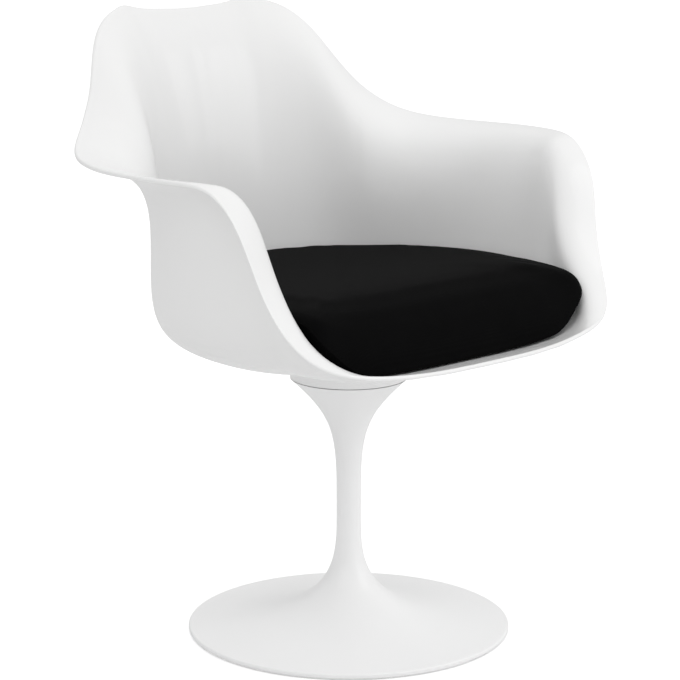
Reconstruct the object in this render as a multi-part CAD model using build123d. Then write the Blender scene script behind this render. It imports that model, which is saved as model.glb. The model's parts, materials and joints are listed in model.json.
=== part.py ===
from build123d import *
import os
from math import atan2, comb, cos, hypot, pi, remainder, sin

import numpy as np

# A swivel armchair on a trumpet pedestal, in millimetres.
# +Z is up, the sitter faces -Y, and the origin lies on the floor under the stem's axis.

# Overall sizes of the shell's rim, with its heights above the seam of the neck
seat_width = 684.0
lip_reach = 258.0
back_reach = 325.0
lip_rise = 59.0
arm_rise = 294.0
back_rise = 466.0
back_top_share = 0.345

# Moulded shell: wall, bowl and the flare that rolls out to the rim
shell_wall = 5.5
rim_roundness = 2.2
hub_radius = 60.0
hub_rise = 3.0
floor_rise = 22.0
floor_share = 0.79
floor_side_inset = 62.0
floor_back_inset = 29.5
floor_front_inset = 93.0
floor_squareness = 2.4
bowl_rise = 17.7
wall_side_inset = 64.0
wall_back_inset = 94.0
wall_front_inset = 36.5
wall_squareness = 8.0
low_wall_share = 0.16
high_wall_share = 0.73
lean_front = -3.4
lean_arm = -1.8
lean_back = 23.1
flare_front = 11.0
flare_nose = 95.0
flare_arm = 72.0
flare_rear = 138.0
flare_back = 48.4
drop_front = 3.7
drop_nose = -62.0
drop_arm = 5.0
drop_rear = 17.6
drop_back = 71.4
shell_sections = 40
meridian_points = 40

# Moulded boss under the shell, where it bolts to the swivel
boss_radius = 81.0
boss_cove_radius = 106.0
boss_cove_rise = 12.5
boss_thickness = 16.0
boss_top_radius = 96.0
cove_bulge = (0.32, 0.62)

# Pedestal casting
glide_thickness = 1.5
glide_width = 26.0
glide_inset = 7.0
base_radius = 213.0
base_edge_height = 6.5
base_edge_round = 2.0
disc_pull_radius = 21.0
disc_pull_height = 15.0
foot_pull_height = 84.0
stem_radius = 16.2
stem_bottom = 150.0
neck_length = 152.0
neck_pull_drop = 70.0
neck_curl_radius = 25.0
neck_curl_drop = 49.0
neck_radius = 77.0
seam_height = 342.0
casting_wall = 6.5
hollow_start = 0.10
hollow_points = 12
cut_overlap = 1.0

# Swivel bearing in the neck
seam_gap = 1.0
spindle_radius = 10.0
running_gap = 0.05
end_float = 0.2
bush_wall = 3.0
bush_length = 24.0
bush_flange = 2.0
bush_flange_radius = 24.0
lower_flange_radius = 16.0
cartridge_wall = 4.0
cartridge_length = 66.0
cartridge_flange = 6.0
cartridge_flange_radius = 45.0
cartridge_recess = 8.0
pocket_gap = 0.3
pocket_spare = 12.0
cartridge_screw_radius = 2.5
cartridge_screw_length = 16.0
cartridge_screw_circle = 34.0
cartridge_screws = 3
cartridge_head_radius = 4.25
cartridge_head_height = 2.75
hole_gap = 0.25
thrust_washer = 1.5
retaining_washer = 1.5
ring_thickness = 1.2
ring_groove_depth = 0.8
ring_reach = 3.0
ring_opening = 4.0
spindle_tip = 3.0

# Swivel plate and collar
collar_height = 15.0
collar_web = 3.0
collar_skirt_gap = 1.5
collar_bulge = (0.25, 0.60)
collar_web_gap = 1.0
plate_radius = 66.0
plate_thickness = 8.0
plate_hub_radius = 26.0
spindle_head_radius = 15.0
spindle_head = 3.0

# Bolts through the boss into the plate
shell_screw_radius = 4.0
shell_screw_circle = 50.0
shell_screws = 4
shell_head_radius = 7.0
shell_head_height = 4.4
shell_washer_radius = 8.5
shell_washer = 1.6
shell_sink_radius = 9.5
shell_sink_depth = 6.5
socket_radius = 2.9
socket_depth = 2.4

# Seat cushion
cushion_side_inset = 12.0
cushion_front_inset = 47.0
cushion_corner_power = 16.0
cushion_corner_slope = 600.0
cushion_lip_margin = 14.0
cushion_seam_rise = 125.0
cushion_top_rise = 143.0
cushion_tilt = 0.025
cushion_gap = 2.0
cover_thickness = 2.0
knife_edge = 5.0
foam_gap = 1.2
cushion_points = 128
profile_points = 80
search_steps = 40
pad_radius = 14.0
pad_circle = 68.0
pad_thickness = 2.0
pads = 4

# Heights that follow from the sizes above
base_bottom = glide_thickness
lip_height = seam_height + lip_rise
arm_height = seam_height + arm_rise
back_height = seam_height + back_rise
cushion_seam_height = seam_height + cushion_seam_rise
cushion_top = seam_height + cushion_top_rise
stem_top = seam_height - neck_length
neck_pull_height = seam_height - neck_pull_drop
neck_curl_height = seam_height - neck_curl_drop
base_edge_top = base_bottom + base_edge_height
recess_floor = seam_height - cartridge_recess
flange_top = recess_floor + cartridge_flange
bush_top = flange_top + bush_flange
washer_top = bush_top + thrust_washer
collar_bottom = seam_height + seam_gap
boss_bottom = collar_bottom + collar_height
boss_top = boss_bottom + boss_thickness
plate_top = boss_bottom - collar_web
plate_bottom = plate_top - plate_thickness
cartridge_bottom = recess_floor + cartridge_flange - cartridge_length
lower_bush_bottom = cartridge_bottom - bush_flange
retaining_top = lower_bush_bottom - end_float
ring_top = retaining_top - retaining_washer
spindle_bottom = ring_top - ring_thickness - spindle_tip
hub_height = boss_bottom + hub_rise
sink_floor = boss_top - shell_sink_depth
hook_top = boss_top + pad_thickness
cushion_bottom = hook_top + pad_thickness

# Radii that follow from the sizes above
bush_inner = spindle_radius + running_gap
bush_outer = bush_inner + bush_wall
cartridge_outer = bush_outer + cartridge_wall
pocket_radius = cartridge_outer + pocket_gap
stem_bore = stem_radius - casting_wall
collar_inner = plate_radius + collar_skirt_gap

# Plan of the bowl, set in from the rim all round
floor_side = seat_width / 2 - floor_side_inset
floor_back = back_reach - floor_back_inset
floor_front = lip_reach - floor_front_inset
wall_side = seat_width / 2 - wall_side_inset
wall_back = back_reach - wall_back_inset
wall_front = lip_reach - wall_front_inset
cushion_half_width = wall_side - cushion_side_inset
cushion_front = lip_reach - cushion_front_inset

os.makedirs("parts", exist_ok=True)


def save(node, shape):
    shape.label = node
    export_step(shape, f"parts/{node}.step")
    print(f"{node}: {shape.volume / 1000:.2f} cm3")


def tube(outer, inner, bottom, top):
    """A round ring or bush about the stem's axis."""
    ring = Cylinder(outer, top - bottom) - Cylinder(inner, top - bottom)
    return Pos(0, 0, (bottom + top) / 2) * ring


def rod(radius, bottom, top, x=0.0, y=0.0):
    return Pos(x, y, (bottom + top) / 2) * Cylinder(radius, top - bottom)


def ring_of(count, radius, start=0.0):
    """Places of a ring of pieces about the stem's axis."""
    turns = [start + 2 * pi * k / count for k in range(count)]
    return [(radius * cos(turn), radius * sin(turn)) for turn in turns]


def bernstein(order, t):
    return np.array([comb(order, k) * t**k * (1 - t) ** (order - k) for k in range(order + 1)])


def bezier(control, t):
    """Point of a Bezier curve at t from 0 to 1."""
    return bernstein(len(control) - 1, t) @ np.array(control)


def bezier_normal(control, t):
    """Unit normal on the left of a Bezier curve's direction of travel."""
    steps = np.diff(np.array(control), axis=0)
    along = bernstein(len(steps) - 1, t) @ steps
    return np.array([-along[1], along[0]]) / hypot(*along)


# Pedestal casting

disc_curve = [
    (base_radius, base_edge_top),
    (disc_pull_radius, disc_pull_height),
    (stem_radius, foot_pull_height),
    (stem_radius, stem_bottom),
]
neck_curve = [
    (stem_radius, stem_top),
    (stem_radius, neck_pull_height),
    (neck_curl_radius, neck_curl_height),
    (neck_radius, seam_height),
]


def flat(points):
    return [(r, 0, z) for r, z in points]


def pedestal_casting():
    outline = [
        Line((0, 0, base_bottom), (base_radius, 0, base_bottom)),
        Line((base_radius, 0, base_bottom), (base_radius, 0, base_edge_top)),
        Bezier(*flat(disc_curve)),
        Line((stem_radius, 0, stem_bottom), (stem_radius, 0, stem_top)),
        Bezier(*flat(neck_curve)),
        Line((neck_radius, 0, seam_height), (0, 0, seam_height)),
        Line((0, 0, seam_height), (0, 0, base_bottom)),
    ]
    casting = revolve(make_face(outline), Axis.Z)
    rim_edges = casting.edges().filter_by(GeomType.CIRCLE).filter_by(
        lambda edge: edge.radius > base_radius - base_edge_round
    )
    casting = fillet(rim_edges, base_edge_round)
    # The hollow keeps an even wall under the disc and up the stem, and widens for the swivel.
    steps = np.linspace(hollow_start, 1.0, hollow_points)
    roof = [bezier(disc_curve, t) + casting_wall * bezier_normal(disc_curve, t) for t in steps]
    pocket_bottom = lower_bush_bottom - pocket_spare
    recess_radius = cartridge_flange_radius + pocket_gap
    foot = base_bottom - cut_overlap
    head = seam_height + cut_overlap
    corners = [
        roof[-1],
        (stem_bore, pocket_bottom),
        (pocket_radius, pocket_bottom),
        (pocket_radius, recess_floor),
        (recess_radius, recess_floor),
        (recess_radius, head),
        (0, head),
        (0, foot),
        (roof[0][0], foot),
        roof[0],
    ]
    hollow_outline = [Spline(*flat(roof)), *Polyline(*flat(corners)).edges()]
    casting -= revolve(make_face(hollow_outline), Axis.Z)
    for x, y in ring_of(cartridge_screws, cartridge_screw_circle):
        casting -= rod(cartridge_screw_radius, flange_top - cartridge_screw_length, recess_floor, x, y)
    return casting


def floor_glide():
    outer = base_radius - glide_inset
    return tube(outer, outer - glide_width, 0, glide_thickness)


# Swivel bearing

def bearing_cartridge():
    body = rod(cartridge_flange_radius, recess_floor, flange_top)
    body += rod(cartridge_outer, cartridge_bottom, flange_top)
    body -= rod(bush_outer, cartridge_bottom, flange_top)
    for x, y in ring_of(cartridge_screws, cartridge_screw_circle):
        body -= rod(cartridge_screw_radius + hole_gap, recess_floor, flange_top, x, y)
    return body


def cartridge_screw(x, y):
    shank = rod(cartridge_screw_radius, flange_top - cartridge_screw_length, flange_top, x, y)
    head = rod(cartridge_head_radius, flange_top, flange_top + cartridge_head_height, x, y)
    return shank + head


def upper_bush():
    sleeve = tube(bush_outer, bush_inner, flange_top - bush_length, flange_top)
    return sleeve + tube(bush_flange_radius, bush_inner, flange_top, bush_top)


def lower_bush():
    sleeve = tube(bush_outer, bush_inner, cartridge_bottom, cartridge_bottom + bush_length)
    return sleeve + tube(lower_flange_radius, bush_inner, lower_bush_bottom, cartridge_bottom)


def spindle():
    shaft = rod(spindle_radius, spindle_bottom, plate_top)
    shaft += rod(spindle_head_radius, plate_top - spindle_head, plate_top)
    groove_floor = spindle_radius - ring_groove_depth
    return shaft - tube(spindle_radius + cut_overlap, groove_floor, ring_top - ring_thickness, ring_top)


def retaining_ring():
    outer = spindle_radius + ring_reach
    ring = tube(outer, spindle_radius - ring_groove_depth, ring_top - ring_thickness, ring_top)
    opening = Box(2 * outer, ring_opening, 2 * ring_thickness)
    return ring - Pos(outer, 0, ring_top) * opening


def swivel_plate():
    plate = rod(plate_radius, plate_bottom, plate_top)
    plate += rod(plate_hub_radius, washer_top, plate_bottom)
    plate -= rod(spindle_radius, washer_top, plate_top)
    plate -= rod(spindle_head_radius, plate_top - spindle_head, plate_top)
    for x, y in ring_of(shell_screws, shell_screw_circle, pi / 4):
        plate -= rod(shell_screw_radius, plate_bottom, plate_top, x, y)
    return plate


def neck_collar():
    bulge_radius = neck_radius + collar_bulge[0] * (boss_radius - neck_radius)
    bulge_height = collar_bottom + collar_bulge[1] * collar_height
    skirt = [
        Line((collar_inner, 0, collar_bottom), (neck_radius, 0, collar_bottom)),
        ThreePointArc(
            (neck_radius, 0, collar_bottom),
            (bulge_radius, 0, bulge_height),
            (boss_radius, 0, boss_bottom),
        ),
        Line((boss_radius, 0, boss_bottom), (collar_inner, 0, boss_bottom)),
        Line((collar_inner, 0, boss_bottom), (collar_inner, 0, collar_bottom)),
    ]
    collar = revolve(make_face(skirt), Axis.Z)
    web_inner = spindle_head_radius + collar_web_gap
    collar += tube(collar_inner + cut_overlap, web_inner, plate_top, boss_bottom)
    for x, y in ring_of(shell_screws, shell_screw_circle, pi / 4):
        collar -= rod(shell_screw_radius + hole_gap, plate_top, boss_bottom, x, y)
    return collar


# Shell

# Stations of the rim from the lip to the arm, then on to the back: shares of the half width,
# of the depth from lip to back, and of the rise from lip to arm or from arm to back
lip_stations = [
    (0.0, 0.0, 0.0),
    (0.292, 0.009, 0.0),
    (0.515, 0.026, 0.021),
    (0.670, 0.048, 0.064),
    (0.766, 0.081, 0.136),
    (0.830, 0.127, 0.281),
    (0.874, 0.171, 0.520),
    (0.918, 0.214, 0.821),
    (0.944, 0.273, 0.966),
    (0.985, 0.362, 1.0),
]
back_stations = [
    (1.0, 0.473, 0.0),
    (0.933, 0.686, 0.006),
    (0.857, 0.770, 0.058),
    (0.751, 0.825, 0.203),
    (0.652, 0.868, 0.442),
    (0.468, 0.957, 0.913),
    (back_top_share, 0.988, 1.0),
    (0.0, 1.0, 0.948),
]


def rim_line():
    """Rim from the front centre round one arm to the back centre."""
    half = seat_width / 2
    depth = lip_reach + back_reach
    points = []
    for stations, low, high in (
        (lip_stations, lip_height, arm_height),
        (back_stations, arm_height, back_height),
    ):
        for across, along, climb in stations:
            points.append((across * half, along * depth - lip_reach, low + climb * (high - low)))
    return Spline(*points, tangents=((1, 0, 0), (-1, 0, 0)))


rim = rim_line()


def rim_point(share):
    """Rim point at a share of its length, which runs on past both ends as its mirror image."""
    inside = min(abs(share), 2 - abs(share)) if abs(share) > 1 else abs(share)
    point = rim @ inside
    side = 1 if 0 <= share <= 1 else -1
    return np.array([side * point.X, point.Y, point.Z])


def ease(t):
    t = min(max(t, 0.0), 1.0)
    return t * t * (3 - 2 * t)


# Where, by the sine of the angle about the stem, the shell changes from lip to nose, arm, rear and back
zone_sines = [-0.80, -0.47, -0.15, 0.62, 0.97]


def zone(sine, front, nose, arm, rear, back):
    values = [front, nose, arm, rear, back]
    level = values[0]
    for k in range(4):
        share = ease((sine - zone_sines[k]) / (zone_sines[k + 1] - zone_sines[k]))
        level += (values[k + 1] - values[k]) * share
    return level


def plan_radius(sine, side, back, front, squareness):
    """Plan radius of the bowl: round to the back, squarer to the front."""
    cosine = (1 - sine**2) ** 0.5
    depth = back if sine > 0 else front
    power = 2.0 if sine > 0 else squareness
    return ((cosine / side) ** power + (abs(sine) / depth) ** power) ** (-1 / power)


def outer_meridian(edge):
    """Control points, radius and height, of the shell's outer face below one rim point."""
    reach = hypot(edge[0], edge[1])
    sine = edge[1] / reach
    corner = plan_radius(sine, floor_side, floor_back, floor_front, floor_squareness)
    wall = plan_radius(sine, wall_side, wall_back, wall_front, wall_squareness)
    floor = hub_height + floor_rise
    rise = edge[2] - floor
    flare = zone(sine, flare_front, flare_nose, flare_arm, flare_rear, flare_back)
    drop = zone(sine, drop_front, drop_nose, drop_arm, drop_rear, drop_back)
    lean = zone(sine, lean_front, lean_arm, lean_arm, lean_arm, lean_back)
    return [
        (hub_radius, hub_height),
        (hub_radius + floor_share * (corner - hub_radius), floor),
        (corner, floor + bowl_rise * rise / (rise + bowl_rise)),
        (wall, floor + low_wall_share * rise),
        (wall + lean, floor + high_wall_share * rise),
        (reach - flare, edge[2] - drop),
        (reach, edge[2]),
    ]


def inner_meridian(outer):
    """Control points of the inner face, one wall in from the outer face all along."""
    order = len(outer) - 1
    steps = np.linspace(0, 1, meridian_points)
    points = np.array([bezier(outer, t) + shell_wall * bezier_normal(outer, t) for t in steps])
    weights = np.array([bernstein(order, t) for t in steps])
    ends = weights[:, [0, order]] @ points[[0, -1]]
    middle = np.linalg.lstsq(weights[:, 1:order], points - ends, rcond=None)[0]
    return [points[0], *middle, points[-1]]


def in_plane(edge, points):
    turn = atan2(edge[1], edge[0])
    return [(r * cos(turn), r * sin(turn), z) for r, z in points]


def shell_section(edge):
    outer = outer_meridian(edge)
    inner = inner_meridian(outer)
    tip = np.array(outer[-1])
    across = bezier_normal(outer, 1.0)
    onward = np.array([across[1], -across[0]])
    crest = tip + across * shell_wall / 2 + onward * rim_roundness
    outer_3d = in_plane(edge, outer)
    inner_3d = in_plane(edge, inner)
    return Wire([
        Bezier(*outer_3d),
        ThreePointArc(outer_3d[-1], in_plane(edge, [crest])[0], inner_3d[-1]),
        Bezier(*inner_3d[::-1]),
        Line(inner_3d[0], outer_3d[0]),
    ])


def shell_boss():
    cove_top = boss_bottom + boss_cove_rise
    bulge_radius = boss_radius + cove_bulge[0] * (boss_cove_radius - boss_radius)
    bulge_height = boss_bottom + cove_bulge[1] * boss_cove_rise
    outline = [
        Line((0, 0, boss_bottom), (boss_radius, 0, boss_bottom)),
        ThreePointArc(
            (boss_radius, 0, boss_bottom),
            (bulge_radius, 0, bulge_height),
            (boss_cove_radius, 0, cove_top),
        ),
        Line((boss_cove_radius, 0, cove_top), (boss_top_radius, 0, boss_top)),
        Line((boss_top_radius, 0, boss_top), (0, 0, boss_top)),
        Line((0, 0, boss_top), (0, 0, boss_bottom)),
    ]
    return revolve(make_face(outline), Axis.Z)


def seat_shell():
    shares = [k / shell_sections for k in range(-2, shell_sections + 3)]
    sections = [shell_section(rim_point(share)) for share in shares]
    beside = Pos(seat_width / 2, 0, back_height / 2) * Box(seat_width, 4 * back_reach, 2 * back_height)
    half = Solid.make_loft(sections) & beside
    shell = half + mirror(half, about=Plane.YZ) + shell_boss()
    for x, y in ring_of(shell_screws, shell_screw_circle, pi / 4):
        shell -= rod(shell_screw_radius + hole_gap, boss_bottom, boss_top, x, y)
        shell -= rod(shell_sink_radius, sink_floor, boss_top, x, y)
    return shell


def shell_screw(x, y):
    seat = sink_floor + shell_washer
    screw = rod(shell_screw_radius, plate_bottom, seat, x, y)
    screw += rod(shell_head_radius, seat, seat + shell_head_height, x, y)
    socket = Pos(x, y, seat + shell_head_height) * extrude(RegularPolygon(socket_radius, 6), -socket_depth)
    return screw - socket


def shell_washer_at(x, y):
    return rod(shell_washer_radius, sink_floor, sink_floor + shell_washer, x, y) - rod(
        shell_screw_radius, sink_floor, sink_floor + shell_washer, x, y
    )


# Cushion

# Each level of the crown: its share of the plan, then its share of the way up from the seam
crown_levels = [
    (0.985, 0.33),
    (0.94, 0.62),
    (0.86, 0.83),
    (0.74, 0.94),
    (0.60, 0.98),
    (0.45, 0.995),
    (0.30, 1.0),
]
# Levels of the belly, as shares of the way out from the flat bottom to the seam
belly_shares = [0.94, 0.84, 0.70, 0.54, 0.36, 0.18]

# The bowl is read twice as finely as the cushion's outlines, which use every second angle.
turn_step = pi / cushion_points
all_turns = [turn_step * (k + 1) for k in range(2 * cushion_points)]
turns = all_turns[::2]


def edge_at(turn):
    """Rim point at an angle about the stem, on the half with positive X."""
    low, high = 0.0, 1.0
    for _ in range(search_steps):
        middle = (low + high) / 2
        point = rim_point(middle)
        if atan2(point[1], point[0]) < turn:
            low = middle
        else:
            high = middle
    return rim_point(low)


def inner_profile(turn):
    """Points of the shell's inner face at one angle, from the hub to the rim."""
    half_turn = atan2(sin(turn), abs(cos(turn)))
    control = inner_meridian(outer_meridian(edge_at(half_turn)))
    return np.array([bezier(control, t) for t in np.linspace(0, 1, profile_points)])


all_profiles = [inner_profile(turn) for turn in all_turns]
profiles = all_profiles[::2]


def floor_under(profile, radius):
    """Height at which the shell's inner face first reaches a radius."""
    beyond = int(np.argmax(profile[:, 0] >= radius))
    near, far = profile[beyond - 1], profile[beyond]
    share = (radius - near[0]) / (far[0] - near[0])
    return near[1] + share * (far[1] - near[1])


def radius_below(profile, height):
    """Radius at which the shell's inner face first climbs to a height."""
    beyond = int(np.argmax(profile[:, 1] >= height))
    near, far = profile[beyond - 1], profile[beyond]
    share = (height - near[1]) / (far[1] - near[1])
    return near[0] + share * (far[0] - near[0])


def lip_radius(turn, profile):
    """Plan radius of the cushion where no wall is in its way: square, with round corners."""
    side = abs(cos(turn)) / cushion_half_width
    front = max(-sin(turn), 0) / cushion_front
    plan = (side**cushion_corner_power + front**cushion_corner_power) ** (-1 / cushion_corner_power)
    return min(plan, profile[-1, 0] - cushion_lip_margin)


def rest_height(profile, radius):
    return floor_under(profile, radius + cushion_gap) + cushion_gap


def tilted(height, turn, radius):
    """Height of a plane that falls towards the back, at one place."""
    return height - cushion_tilt * radius * sin(turn)


def seam_level(turn, profile):
    """Height of the knife edge, which sinks where the cushion lies on the lip."""
    radius = lip_radius(turn, profile)
    return min(tilted(cushion_seam_height, turn, radius), rest_height(profile, radius))


def wall_radius(turn, profile):
    """Radius that clears the wall from the seam upwards, so that the cushion lifts out."""
    level = seam_level(turn, profile)
    wall = [radius for radius, height in profile if height >= level]
    return min([*wall, profile[-1, 0]]) - cushion_gap


all_walls = [wall_radius(turn, profile) for turn, profile in zip(all_turns, all_profiles)]


def seam_radius(turn, profile):
    """Radius of the knife edge, which leaves a wall no faster than the set slope."""
    spread = [abs(remainder(other - turn, 2 * pi)) for other in all_turns]
    beyond = [max(gap - 2 * turn_step, 0) for gap in spread]
    walls = [radius + cushion_corner_slope * gap for radius, gap in zip(all_walls, beyond)]
    return min([*walls, lip_radius(turn, profile)])


def rest_heights(radii):
    """Heights at which the cushion clears the bowl under each angle and just beside it."""
    heights = []
    for k, radius in enumerate(radii):
        near = [all_profiles[(2 * k + step) % len(all_profiles)] for step in (-2, -1, 0, 1, 2)]
        heights.append(max(rest_height(profile, radius) for profile in near))
    return heights


seam_radii = [seam_radius(turn, profile) for turn, profile in zip(turns, profiles)]
seam_heights = [
    max(seam_level(turn, profile), rest)
    for turn, profile, rest in zip(turns, profiles, rest_heights(seam_radii))
]
bottom_radii = [radius_below(profile, cushion_bottom - cushion_gap) for profile in profiles]


def outline(radii, heights, inset):
    points = []
    for turn, radius, height in zip(turns, radii, heights):
        points.append(((radius - inset) * cos(turn), (radius - inset) * sin(turn), height))
    return Wire([Spline(*points, periodic=True)])


def crown_skin(inset, edge, edge_rise=0.0):
    """Upper face of the cushion, from the seam to the flat of its crown."""
    sections = [outline(seam_radii, [height + edge_rise for height in seam_heights], edge)]
    for share, climb in crown_levels:
        radii = [share * radius for radius in seam_radii]
        tops = [tilted(cushion_top, turn, radius - inset) - inset for turn, radius in zip(turns, radii)]
        heights = [low + climb * (top - low) for low, top in zip(seam_heights, tops)]
        sections.append(outline(radii, heights, inset))
    return sections


def belly_skin(inset, edge, edge_rise=0.0):
    """Lower face of the cushion, from the seam down the bowl to its flat bottom."""
    sections = [outline(seam_radii, [height + edge_rise for height in seam_heights], edge)]
    for share in belly_shares:
        radii = [low + share * (high - low) for low, high in zip(bottom_radii, seam_radii)]
        sections.append(outline(radii, [height + inset for height in rest_heights(radii)], inset))
    sections.append(outline(bottom_radii, [cushion_bottom + inset] * cushion_points, inset))
    return sections


def closed(sections_list, strips=()):
    """A solid bounded by skins from outline to outline, flat caps on their last ones and strips."""
    faces = []
    for sections in sections_list:
        faces += Shell.make_loft(sections, ruled=True).faces()
        faces.append(Face(sections[-1]))
    for pair in strips:
        faces += Shell.make_loft(pair, ruled=True).faces()
    return Solid(Shell(faces))


def cover_panel(skin):
    outer = skin(0.0, 0.0)
    inner = skin(cover_thickness, knife_edge)
    return closed([outer, inner], [(outer[0], inner[0])])


def cushion_foam():
    inset = cover_thickness + foam_gap
    edge = knife_edge + inset
    return closed([crown_skin(inset, edge, inset), belly_skin(inset, edge, inset)])


def save_all():
    save("pedestal_casting", pedestal_casting())
    save("floor_glide", floor_glide())
    save("bearing_cartridge", bearing_cartridge())
    screws = [cartridge_screw(x, y) for x, y in ring_of(cartridge_screws, cartridge_screw_circle)]
    save("cartridge_screws", Compound(children=screws))
    save("upper_bush", upper_bush())
    save("lower_bush", lower_bush())
    save("thrust_washer", tube(bush_flange_radius, spindle_radius, bush_top, washer_top))
    save("swivel_plate", swivel_plate())
    save("swivel_spindle", spindle())
    save("retaining_washer", tube(lower_flange_radius, spindle_radius, ring_top, retaining_top))
    save("retaining_ring", retaining_ring())
    save("neck_collar", neck_collar())
    save("seat_shell", seat_shell())
    bolt_places = ring_of(shell_screws, shell_screw_circle, pi / 4)
    save("shell_screws", Compound(children=[shell_screw(x, y) for x, y in bolt_places]))
    save("shell_washers", Compound(children=[shell_washer_at(x, y) for x, y in bolt_places]))
    pad_places = ring_of(pads, pad_circle)
    save("cushion_top_cover", cover_panel(crown_skin))
    save("cushion_bottom_cover", cover_panel(belly_skin))
    save("cushion_foam", cushion_foam())
    hooks = [rod(pad_radius, boss_top, hook_top, x, y) for x, y in pad_places]
    loops = [rod(pad_radius, hook_top, cushion_bottom, x, y) for x, y in pad_places]
    save("hook_pads", Compound(children=hooks))
    save("loop_pads", Compound(children=loops))


save_all()
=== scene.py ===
# %% [markdown]
# # A swivel armchair on a trumpet pedestal
# The chair is a one-piece white shell on a slim metal stem, with a loose black cushion inside.
# The solid model already holds the exact shapes, so it is loaded as a fixed frame.
# This lesson adds what a solid model cannot show: finishes, a sewn cushion, light and a camera.

# %% Load the solid model
import json
import math

import bmesh
import bpy
from mathutils import Matrix, Vector
from mathutils.bvhtree import BVHTree


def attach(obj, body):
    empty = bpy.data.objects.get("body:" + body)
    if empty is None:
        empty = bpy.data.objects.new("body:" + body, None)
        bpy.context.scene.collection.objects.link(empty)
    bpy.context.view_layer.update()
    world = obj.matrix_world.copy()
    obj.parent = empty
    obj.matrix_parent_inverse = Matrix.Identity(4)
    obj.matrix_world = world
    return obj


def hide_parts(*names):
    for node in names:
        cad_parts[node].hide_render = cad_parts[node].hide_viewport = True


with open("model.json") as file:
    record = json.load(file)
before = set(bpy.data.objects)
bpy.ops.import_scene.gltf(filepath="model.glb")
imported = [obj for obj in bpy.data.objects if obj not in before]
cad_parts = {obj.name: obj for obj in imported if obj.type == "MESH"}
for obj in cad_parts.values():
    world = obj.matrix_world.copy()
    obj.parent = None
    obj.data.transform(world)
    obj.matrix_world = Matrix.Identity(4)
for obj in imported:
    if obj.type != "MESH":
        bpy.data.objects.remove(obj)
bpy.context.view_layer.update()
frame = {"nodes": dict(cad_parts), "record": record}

nodes = frame["nodes"]


# %% [markdown]
# ## A helper for finishes
# Every finish here is one Principled shader with small patterns feeding it.
# The patterns read Object coordinates, which are metres in the chair's own frame, so a grain of
# half a millimetre is written as two thousand to the metre and stays put when the chair turns.

# %% Start a finish
def start_finish(name):
    """A new material, its node tree, its Principled shader and the place that patterns read."""
    finish = bpy.data.materials.new(name)
    finish.use_nodes = True
    tree = finish.node_tree
    shader = tree.nodes["Principled BSDF"]
    place = tree.nodes.new("ShaderNodeTexCoord")
    return finish, tree, shader, place.outputs["Object"]


print("a finish starts from one Principled shader")


# %% [markdown]
# ## Patterns for finishes
# A real surface is never one even colour. Smooth noise gives the unevenness, and it is then
# spread between two values, spread between two colours, or raised as a shallow relief.

# %% Noise, spread, tint and relief
def add_noise(tree, place, scale, detail):
    """Smooth random speckle, so many patches to the metre."""
    noise = tree.nodes.new("ShaderNodeTexNoise")
    noise.inputs["Scale"].default_value = scale
    noise.inputs["Detail"].default_value = detail
    tree.links.new(place, noise.inputs["Vector"])
    return noise.outputs["Fac"]


def add_range(tree, value, low, high):
    """Spreads a 0 to 1 pattern between two values."""
    spread = tree.nodes.new("ShaderNodeMapRange")
    spread.inputs["To Min"].default_value = low
    spread.inputs["To Max"].default_value = high
    tree.links.new(value, spread.inputs["Value"])
    return spread.outputs["Result"]


def add_tint(tree, value, dark, light):
    """Spreads a 0 to 1 pattern between two colours."""
    ramp = tree.nodes.new("ShaderNodeValToRGB")
    ramp.color_ramp.elements[0].color = (*dark, 1.0)
    ramp.color_ramp.elements[1].color = (*light, 1.0)
    tree.links.new(value, ramp.inputs["Fac"])
    return ramp.outputs["Color"]


def add_bump(tree, shader, height, depth, strength):
    """Lets a pattern stand out from the surface by a depth in metres."""
    bump = tree.nodes.new("ShaderNodeBump")
    bump.inputs["Distance"].default_value = depth
    bump.inputs["Strength"].default_value = strength
    tree.links.new(height, bump.inputs["Height"])
    tree.links.new(bump.outputs["Normal"], shader.inputs["Normal"])


print("pattern helpers ready")


# %% [markdown]
# ## Gloss white shell
# The shell is glass fibre in resin with a sprayed gloss coat. Such a coat is never optically flat:
# it has a faint cloudiness from the resin and a fine orange peel from the spray.
# The peel is bump, far too shallow to model, and the coat itself is the shader's clear coat.

# %% Shell finish
def make_shell_gloss():
    finish, tree, shader, place = start_finish("shell_gloss_white")
    cloud = add_noise(tree, place, scale=5.0, detail=3.0)
    tint = add_tint(tree, cloud, dark=(0.86, 0.86, 0.86), light=(0.885, 0.885, 0.88))
    tree.links.new(tint, shader.inputs["Base Color"])
    polish = add_noise(tree, place, scale=60.0, detail=2.0)
    tree.links.new(add_range(tree, polish, low=0.30, high=0.40), shader.inputs["Roughness"])
    shader.inputs["IOR"].default_value = 1.5
    shader.inputs["Specular IOR Level"].default_value = 0.3
    shader.inputs["Coat Weight"].default_value = 0.4
    shader.inputs["Coat Roughness"].default_value = 0.12
    peel = add_noise(tree, place, scale=320.0, detail=1.0)
    add_bump(tree, shader, peel, depth=0.0002, strength=0.05)
    return finish


shell_gloss = make_shell_gloss()
print("made", shell_gloss.name)


# %% [markdown]
# ## Satin white pedestal
# The stem and its disc are one aluminium casting with a thick baked coat. It has no clear coat over
# it and a finer, denser texture than the shell, so it gets its own roughness and grain.

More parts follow.
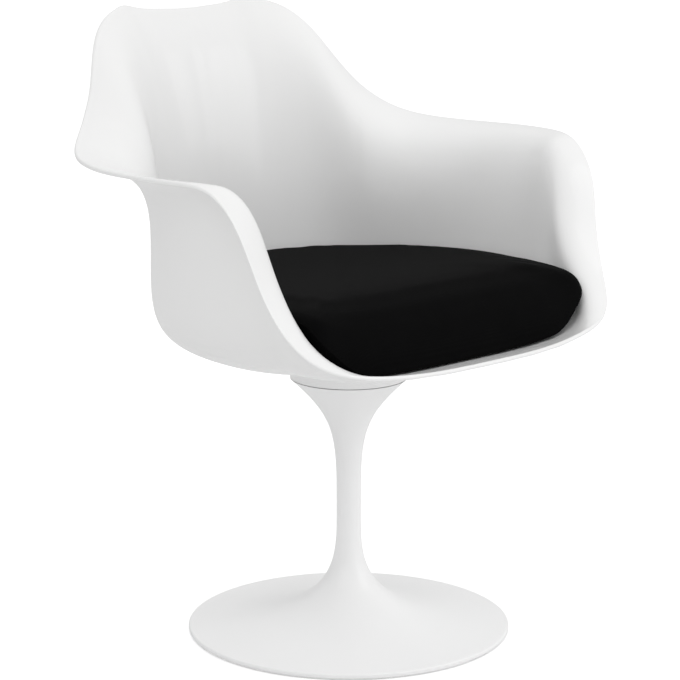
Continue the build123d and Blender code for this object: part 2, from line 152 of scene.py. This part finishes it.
# %% Pedestal finish
def make_pedestal_satin():
    finish, tree, shader, place = start_finish("pedestal_satin_white")
    cloud = add_noise(tree, place, scale=8.0, detail=3.0)
    tint = add_tint(tree, cloud, dark=(0.90, 0.90, 0.90), light=(0.92, 0.92, 0.92))
    tree.links.new(tint, shader.inputs["Base Color"])
    polish = add_noise(tree, place, scale=90.0, detail=2.0)
    tree.links.new(add_range(tree, polish, low=0.26, high=0.34), shader.inputs["Roughness"])
    shader.inputs["IOR"].default_value = 1.5
    grain = add_noise(tree, place, scale=900.0, detail=1.0)
    add_bump(tree, shader, grain, depth=0.0001, strength=0.04)
    return finish


pedestal_satin = make_pedestal_satin()
print("made", pedestal_satin.name)


# %% [markdown]
# ## Plated steel
# The screws and the swivel are zinc-plated steel. Plating dulls the metal a little and leaves fine
# marks, so one fine noise serves for both the uneven shine and the marks.

# %% Steel finish
def make_plated_steel():
    finish, tree, shader, place = start_finish("plated_steel")
    cloud = add_noise(tree, place, scale=120.0, detail=3.0)
    tint = add_tint(tree, cloud, dark=(0.50, 0.50, 0.51), light=(0.62, 0.62, 0.63))
    tree.links.new(tint, shader.inputs["Base Color"])
    shader.inputs["Metallic"].default_value = 1.0
    marks = add_noise(tree, place, scale=700.0, detail=4.0)
    tree.links.new(add_range(tree, marks, low=0.25, high=0.45), shader.inputs["Roughness"])
    add_bump(tree, shader, marks, depth=0.0001, strength=0.1)
    return finish


plated_steel = make_plated_steel()
print("made", plated_steel.name)


# %% [markdown]
# ## Plastics and foam
# The bushes, the floor glide and the foam are all plain, soft-looking materials that differ in
# colour and shine. One function with a soft mottle makes the three.

# %% Plastic and foam finishes
def make_mottled(name, dark, light, roughness):
    finish, tree, shader, place = start_finish(name)
    cloud = add_noise(tree, place, scale=200.0, detail=3.0)
    tree.links.new(add_tint(tree, cloud, dark, light), shader.inputs["Base Color"])
    shader.inputs["Roughness"].default_value = roughness
    add_bump(tree, shader, cloud, depth=0.0001, strength=0.1)
    return finish


bush_plastic = make_mottled("bush_plastic", (0.70, 0.68, 0.62), (0.80, 0.78, 0.72), roughness=0.45)
glide_plastic = make_mottled("glide_plastic", (0.42, 0.42, 0.42), (0.50, 0.50, 0.50), roughness=0.5)
foam_finish = make_mottled("cushion_foam", (0.70, 0.66, 0.52), (0.80, 0.76, 0.62), roughness=0.9)
print("made", [finish.name for finish in (bush_plastic, glide_plastic, foam_finish)])


# %% [markdown]
# ## Hook-and-loop tape
# Round pads of black tape keep the cushion in place, and they show when it is lifted.
# Their nap is a dense, deep noise on a surface that doesn't shine.

# %% Tape finish
def make_hook_tape():
    finish, tree, shader, place = start_finish("hook_and_loop_tape")
    nap = add_noise(tree, place, scale=1400.0, detail=2.0)
    tint = add_tint(tree, nap, dark=(0.008, 0.008, 0.008), light=(0.04, 0.04, 0.04))
    tree.links.new(tint, shader.inputs["Base Color"])
    shader.inputs["Roughness"].default_value = 0.95
    add_bump(tree, shader, nap, depth=0.0006, strength=0.8)
    return finish


hook_tape = make_hook_tape()
print("made", hook_tape.name)


# %% [markdown]
# ## Black cushion cloth
# The cover is a smooth, tightly woven black cloth. Threads cross at right angles about every
# millimetre, so two sets of fine bands make the weave, and a slow mottle keeps the black from
# looking printed. It hardly shines, because yarn scatters the light.

# %% Cloth finish
threads_per_metre = 1100.0
# Blender's wave pattern repeats every tenth part of pi at a scale of one.
wave_length = math.pi / 10


def add_threads(tree, place, direction):
    """Fine bands across one direction."""
    bands = tree.nodes.new("ShaderNodeTexWave")
    bands.bands_direction = direction
    bands.inputs["Scale"].default_value = threads_per_metre * wave_length
    bands.inputs["Distortion"].default_value = 0.6
    bands.inputs["Detail"].default_value = 1.0
    tree.links.new(place, bands.inputs["Vector"])
    return bands.outputs["Fac"]


def add_math(tree, operation, first, second):
    """Joins two patterns by one operation."""
    joined = tree.nodes.new("ShaderNodeMath")
    joined.operation = operation
    tree.links.new(first, joined.inputs[0])
    tree.links.new(second, joined.inputs[1])
    return joined.outputs["Value"]


def make_cushion_cloth():
    finish, tree, shader, place = start_finish("cushion_cloth_black")
    warp = add_threads(tree, place, "X")
    weft = add_threads(tree, place, "Y")
    weave = add_math(tree, "MAXIMUM", warp, weft)
    mottle = add_math(tree, "MULTIPLY", weave, add_noise(tree, place, scale=30.0, detail=4.0))
    tint = add_tint(tree, mottle, dark=(0.0014, 0.0014, 0.0015), light=(0.0032, 0.0032, 0.0033))
    tree.links.new(tint, shader.inputs["Base Color"])
    shader.inputs["Roughness"].default_value = 0.75
    shader.inputs["Specular IOR Level"].default_value = 0.03
    add_bump(tree, shader, weave, depth=0.0001, strength=0.1)
    return finish


cushion_cloth = make_cushion_cloth()
print("made", cushion_cloth.name)


# %% [markdown]
# ## Dress the solid pieces
# A solid piece whose shape is already right keeps its mesh and only gets its finish. Curved
# faces are shaded smooth by the normals that came with the solid model.

# %% Hand out the finishes
finish_of_slot = {
    "shell_gloss": shell_gloss,
    "pedestal_coat": pedestal_satin,
    "bearing_steel": plated_steel,
    "bush_plastic": bush_plastic,
    "glide_plastic": glide_plastic,
    "pad_tape": hook_tape,
    "foam": foam_finish,
    "cushion_cloth": cushion_cloth,
}
for piece in frame["record"]["subparts"]:
    slots = nodes[piece["node"]].material_slots
    for slot in slots:
        slot.material = finish_of_slot[piece["material_slot"]]
    print(piece["node"], "->", piece["material_slot"], len(slots), "slot")


# %% [markdown]
# ## Find the cushion's seam
# A seat cushion is two cloth panels, cut to one outline and sewn together at a knife edge, with
# a foam pad inside. The solid cushion gives the cut. A ray sent at it from outside, level with the
# floor, shows how far out it reaches at that height, and the seam is where it reaches furthest.
# The height is searched in coarse steps and then in fine ones, from where the last spoke had it.

# %% Send rays at the solid cushion
far_out = 0.5


def cushion_surface():
    """The outside of the solid cushion, ready to be searched with rays."""
    joined = bmesh.new()
    for name in ("cushion_top_cover", "cushion_bottom_cover"):
        joined.from_mesh(nodes[name].data)
    surface = BVHTree.FromBMesh(joined)
    joined.free()
    return surface


def reach_at(surface, angle, height):
    """How far out the cushion reaches at one angle and height, less than nothing on the far side."""
    outward = Vector((math.cos(angle), math.sin(angle), 0.0))
    start = outward * far_out + Vector((0.0, 0.0, height))
    hit = surface.ray_cast(start, -outward)[0]
    return hit.dot(outward) if hit else -far_out


surface = cushion_surface()
first_seam_height = 0.470
print("reach to the sitter's left:", round(reach_at(surface, 0.0, first_seam_height), 3), "m")


# %% Search for the seam
spokes = 128
search_lengths = (0.002, 0.0002)
search_steps = 12


def find_seam(surface, angle, near_height):
    """The knife edge at one angle: how far out it is, and how high."""
    best = near_height
    for length in search_lengths:
        heights = [best + length * step for step in range(-search_steps, search_steps + 1)]
        best = max(heights, key=lambda height: reach_at(surface, angle, height))
    return reach_at(surface, angle, best), best


angles = [2 * math.pi * (spoke + 0.5) / spokes for spoke in range(spokes)]
seam_radii = []
seam_heights = []
height = first_seam_height
for angle in angles:
    radius, height = find_seam(surface, angle, height)
    seam_radii.append(radius)
    seam_heights.append(height)
print("seam radius", round(min(seam_radii), 3), "to", round(max(seam_radii), 3), "m")


# %% [markdown]
# ## Measure the two panels
# Each panel is a net of spokes and rings. The rings lie closer together towards the seam, which
# keeps the edge crisp and the pointed corners true. Rays from above and from below give the heights
# of the two panels, and each ring is evened out, because tight cloth shows no small ripples.

# %% Measure the rings
rings = 20
ring_crowding = 1.5
ring_shares = [1 - (1 - ring / rings) ** ring_crowding for ring in range(rings + 1)]
above_cushion = 0.60
below_cushion = 0.30
even_passes = 2


def panel_height(x, y, from_above, seam_height):
    """Height of the solid cushion's upper or lower face over one place."""
    start = Vector((x, y, above_cushion if from_above else below_cushion))
    aim = Vector((0.0, 0.0, -1.0 if from_above else 1.0))
    hit = surface.ray_cast(start, aim)[0]
    if hit is None:
        # A ray can slip between two triangles, and then the nearest point serves.
        hit = surface.find_nearest(Vector((x, y, seam_height)))[0]
    return hit.z


def even_out(heights):
    """Takes small ripples out of the heights round a ring."""
    for _ in range(even_passes):
        around = zip(heights[-1:] + heights[:-1], heights, heights[1:] + heights[:1])
        heights = [(before + 2 * here + after) / 4 for before, here, after in around]
    return heights


def measure_panel(from_above):
    """The heights of one panel, ring by ring from its middle to the seam."""
    panel = []
    for share in ring_shares[:-1]:
        heights = []
        for angle, radius, seam_height in zip(angles, seam_radii, seam_heights):
            x = share * radius * math.cos(angle)
            y = share * radius * math.sin(angle)
            heights.append(panel_height(x, y, from_above, seam_height))
        panel.append(even_out(heights))
    return panel + [even_out(seam_heights)]


top_panel = measure_panel(from_above=True)
bottom_panel = measure_panel(from_above=False)
print("thickness in the middle:", round(top_panel[0][0] - bottom_panel[0][0], 3), "m")


# %% [markdown]
# ## Sew the cushion
# A ball made of rings and spokes already has the right net: its upper half is the top panel, its
# lower half the bottom panel, and its equator the seam. So the cushion starts as a ball, and each
# point moves to its own place. The seam is creased, so that smoothing keeps it a knife edge.

# %% Sew the cushion from a ball
def place_on_cushion(point):
    """The row of a point of the ball, counted from the top, and where that point goes."""
    row = round(math.acos(max(-1.0, min(1.0, point.z))) / math.pi * 2 * rings)
    spoke = round(math.atan2(point.y, point.x) / (2 * math.pi) * spokes) % spokes
    ring = min(row, 2 * rings - row)
    radius = ring_shares[ring] * seam_radii[spoke]
    panel = top_panel if row <= rings else bottom_panel
    place = Vector((radius * math.cos(angles[spoke]), radius * math.sin(angles[spoke]), panel[ring][spoke]))
    return row, place


def sew_cushion():
    """The cushion as a new object, and the numbers of the points on its seam."""
    ball = bmesh.new()
    bmesh.ops.create_uvsphere(ball, u_segments=spokes, v_segments=2 * rings, radius=1.0)
    ball.verts.index_update()
    stitched = set()
    for vert in ball.verts:
        row, vert.co = place_on_cushion(vert.co)
        if row == rings:
            stitched.add(vert.index)
    crease = ball.edges.layers.float.new("crease_edge")
    for edge in ball.edges:
        if all(vert.index in stitched for vert in edge.verts):
            edge[crease] = 1.0
            edge.smooth = False
    bmesh.ops.recalc_face_normals(ball, faces=ball.faces)
    mesh = bpy.data.meshes.new("seat_cushion")
    ball.to_mesh(mesh)
    ball.free()
    cushion = bpy.data.objects.new("seat_cushion", mesh)
    bpy.context.scene.collection.objects.link(cushion)
    return cushion, sorted(stitched)


cushion, seam_points = sew_cushion()
print("cushion net:", len(cushion.data.vertices), "points,", len(seam_points), "of them on the seam")


# %% [markdown]
# ## Stuff the cushion
# The foam presses the cloth out tight. A cloth simulation blows the net up a little, as air in a
# pillow would, with the seam pinned because the stitches hold it. The cloth is then held back
# wherever the shell is close, because there the real cushion is pressed flat.

# %% Blow it up and hold it back
swell_up = 0.003
swell_wall = 0.0005
stuffing_frames = 16
stuffing_pressure = 4.0


def apply_modifiers(piece):
    """Bakes the modifiers into the mesh."""
    graph = bpy.context.evaluated_depsgraph_get()
    baked = bpy.data.meshes.new_from_object(piece.evaluated_get(graph))
    piece.modifiers.clear()
    piece.data = baked


def stuff(piece):
    """Blows the cloth up for a few frames, with the seam pinned."""
    stitches = piece.vertex_groups.new(name="stitches")
    stitches.add(seam_points, 1.0, "REPLACE")
    cloth = piece.modifiers.new("stuffing", "CLOTH")
    cloth.settings.vertex_group_mass = stitches.name
    cloth.settings.use_pressure = True
    cloth.settings.uniform_pressure_force = stuffing_pressure
    cloth.settings.effector_weights.gravity = 0.0
    cloth.point_cache.frame_start = 1
    cloth.point_cache.frame_end = stuffing_frames
    for step in range(1, stuffing_frames + 1):
        bpy.context.scene.frame_set(step)
    apply_modifiers(piece)
    bpy.context.scene.frame_set(1)


def hold_back(piece, cut):
    """Caps how far each point has moved: freely on the crown, hardly at all against the shell."""
    moved = 0.0
    for vert, (start, normal) in zip(piece.data.vertices, cut):
        cap = swell_wall + (swell_up - swell_wall) * max(normal.z, 0.0) ** 2
        shift = normal * min(max((vert.co - start).dot(normal), 0.0), cap)
        vert.co = start + shift
        moved = max(moved, shift.length)
    print("cushion swelled by up to", round(moved * 1000, 2), "mm")


cut = [(vert.co.copy(), vert.normal.copy()) for vert in cushion.data.vertices]
stuff(cushion)
hold_back(cushion, cut)


# %% [markdown]
# ## Finish the cushion
# A subdivision surface rounds the net between its points. The cushion then rides on its own body
# and stands in for the three solid pieces of the pad.

# %% Smooth the cloth and hand it over
smoothing_levels = 2
finer = cushion.modifiers.new("finer", "SUBSURF")
finer.levels = smoothing_levels
finer.render_levels = smoothing_levels
apply_modifiers(cushion)
cushion.data.materials.append(cushion_cloth)
for face in cushion.data.polygons:
    face.use_smooth = True
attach(cushion, "cushion")
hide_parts("cushion_top_cover", "cushion_bottom_cover", "cushion_foam")
print("cushion faces:", len(cushion.data.polygons))


# %% [markdown]
# ## A white floor
# The chair stands on plain white. The floor takes the chair's soft shadow as paper would, and
# what the camera sees of it beyond the shadow comes out white because the floor also glows a
# little towards the camera, which adds no light to the chair.

# %% Floor
floor_half = 25.0
floor_white = (0.82, 0.82, 0.82, 1.0)
floor_glow = 0.42
pure_white = (1.0, 1.0, 1.0, 1.0)


def add_camera_rays(tree):
    """One where the camera looks, and zero for light and reflections."""
    return tree.nodes.new("ShaderNodeLightPath").outputs["Is Camera Ray"]


def make_floor_paper():
    finish, tree, shader, _ = start_finish("floor_paper")
    shader.inputs["Base Color"].default_value = floor_white
    shader.inputs["Roughness"].default_value = 1.0
    shader.inputs["Specular IOR Level"].default_value = 0.0
    shader.inputs["Emission Color"].default_value = pure_white
    glow = add_range(tree, add_camera_rays(tree), low=0.0, high=floor_glow)
    tree.links.new(glow, shader.inputs["Emission Strength"])
    return finish


def make_floor():
    sheet = bmesh.new()
    bmesh.ops.create_grid(sheet, x_segments=1, y_segments=1, size=floor_half)
    mesh = bpy.data.meshes.new("floor")
    sheet.to_mesh(mesh)
    sheet.free()
    floor = bpy.data.objects.new("floor", mesh)
    bpy.context.scene.collection.objects.link(floor)
    floor.data.materials.append(make_floor_paper())
    return floor


print("made", make_floor().name)


# %% [markdown]
# ## The room around the chair
# A white shell shows its shape only if the room isn't equally bright everywhere. In the photograph
# the left edges of the shell and stem are the darkest, so the room's walls fade from a bright side
# in front and to the right of the picture to a dark side behind and to the left, under a bright
# ceiling. The camera itself sees plain white.

# %% Surroundings
bright_side = (0.6, -0.8, 0.0)
bright_wall = 0.92
dark_wall = 0.26
ceiling_light = 0.90
ceiling_starts = 0.6
seen_light = 1.0


def add_wall_light(tree, direction):
    """Light of the walls, from the dark side to the bright one."""
    across = tree.nodes.new("ShaderNodeVectorMath")
    across.operation = "DOT_PRODUCT"
    across.inputs[1].default_value = bright_side
    tree.links.new(direction, across.inputs[0])
    wall = tree.nodes.new("ShaderNodeMapRange")
    wall.inputs["From Min"].default_value = -1.0
    wall.inputs["To Min"].default_value = dark_wall
    wall.inputs["To Max"].default_value = bright_wall
    tree.links.new(across.outputs["Value"], wall.inputs["Value"])
    return wall.outputs["Result"]


def add_room_light(tree, direction):
    """Light of the walls and, above them, of the ceiling."""
    parts = tree.nodes.new("ShaderNodeSeparateXYZ")
    tree.links.new(direction, parts.inputs["Vector"])
    climb = tree.nodes.new("ShaderNodeMapRange")
    climb.interpolation_type = "SMOOTHSTEP"
    climb.inputs["From Max"].default_value = ceiling_starts
    climb.inputs["To Max"].default_value = ceiling_light
    tree.links.new(add_wall_light(tree, direction), climb.inputs["To Min"])
    tree.links.new(parts.outputs["Z"], climb.inputs["Value"])
    return climb.outputs["Result"]


def make_surroundings():
    world = bpy.data.worlds.new("studio")
    bpy.context.scene.world = world
    world.use_nodes = True
    tree = world.node_tree
    back = tree.nodes["Background"]
    back.inputs["Color"].default_value = pure_white
    direction = tree.nodes.new("ShaderNodeTexCoord").outputs["Generated"]
    seen = tree.nodes.new("ShaderNodeMix")
    seen.inputs["B"].default_value = seen_light
    tree.links.new(add_camera_rays(tree), seen.inputs["Factor"])
    tree.links.new(add_room_light(tree, direction), seen.inputs["A"])
    tree.links.new(seen.outputs["Result"], back.inputs["Strength"])
    return world


print("made", make_surroundings().name)


# %% [markdown]
# ## Studio light
# The photograph is lit from the right of the chair's front, where the stem and the back are
# brightest, with soft fill from above and from the left. Large area lamps make the long soft
# reflections on the arms and the back.

# %% Lamps
lamp_aim = Vector((0.0, 0.0, 0.5))


def add_softbox(name, place, size, watts):
    lamp = bpy.data.lights.new(name, "AREA")
    lamp.shape = "SQUARE"
    lamp.size = size
    lamp.energy = watts
    holder = bpy.data.objects.new(name, lamp)
    bpy.context.scene.collection.objects.link(holder)
    holder.location = place
    holder.rotation_euler = (lamp_aim - Vector(place)).to_track_quat("-Z", "Y").to_euler()
    return holder


softboxes = [
    add_softbox("top_softbox", place=(-0.3, -0.6, 2.8), size=3.0, watts=3.0),
    add_softbox("front_softbox", place=(1.6, -2.5, 1.6), size=2.0, watts=16.0),
    add_softbox("left_softbox", place=(-2.6, -0.6, 1.9), size=2.0, watts=7.0),
]
print("lamps:", [softbox.name for softbox in softboxes])


# %% [markdown]
# ## Camera
# The camera's place was worked out from the photograph: the base's ellipse gives the height and
# the tilt, and the two arms give the turn. It stands a little over three metres away and looks
# down twelve degrees with a long lens, so the chair is hardly distorted.

# %% Camera
camera_turn = math.radians(44.0)
camera_distance = 3.21565
camera_height = 1.09214
camera_yaw = -0.0036
camera_pitch = 0.21464
picture_focal_pixels = 2524.63
picture_pixels = 680

lens = bpy.data.cameras.new("camera")
lens.sensor_width = 36.0
lens.lens = picture_focal_pixels * lens.sensor_width / picture_pixels
camera = bpy.data.objects.new("camera", lens)
bpy.context.scene.collection.objects.link(camera)
camera.location = (
    -camera_distance * math.sin(camera_turn),
    -camera_distance * math.cos(camera_turn),
    camera_height,
)
heading = camera_turn + camera_yaw
turn = Matrix.Rotation(-heading, 4, "Z") @ Matrix.Rotation(math.pi / 2 - camera_pitch, 4, "X")
camera.rotation_euler = turn.to_euler()
bpy.context.scene.camera = camera
bpy.context.scene.view_settings.view_transform = "Standard"
print("lens", round(lens.lens, 2), "mm")


# %% [markdown]
# ## The dressed chair
# The dressed chair has to keep the solid model's size.


print("dressed chair ready")
